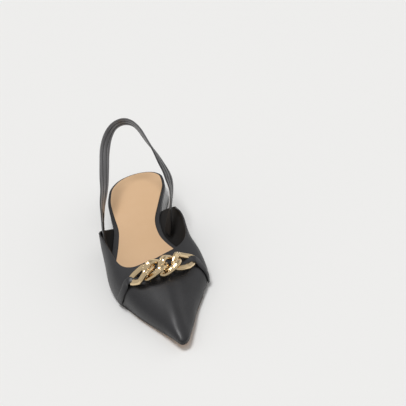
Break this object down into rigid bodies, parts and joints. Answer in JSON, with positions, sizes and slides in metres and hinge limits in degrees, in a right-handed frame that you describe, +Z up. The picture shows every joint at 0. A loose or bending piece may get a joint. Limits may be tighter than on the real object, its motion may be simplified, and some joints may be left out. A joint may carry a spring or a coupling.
{
  "type": "pointed toe slingback flat",
  "caption": "Pointed slingback flat for the right foot: low wedge, black upper open at the collar, tan sock, heel strap loop and a gold curb chain held by a narrow vamp strap.",
  "frame": {"origin": "on the ground, under the middle of the heel seat", "axes": "+Z up, -Y towards the toe, +X towards the inner (medial) side of the foot"},
  "size_m": [0.0812, 0.2652, 0.0746],
  "materials": {
    "black_leather": "fine grained imitation leather, satin",
    "tan_lining": "smooth, matt",
    "tan_sole": "moulded, matt",
    "gold_metal": "polished plating"
  },
  "bodies": {
    "root": {"outsole": "tan_sole", "heel_block": "black_leather", "footbed": "black_leather", "sock": "tan_lining", "upper": "black_leather", "vamp_strap": "black_leather", "chain_link_outer": "gold_metal", "chain_link_middle_a": "gold_metal", "chain_link_middle_b": "gold_metal", "chain_link_inner": "gold_metal", "slingback_strap": "black_leather"}
  },
  "joints": []
}
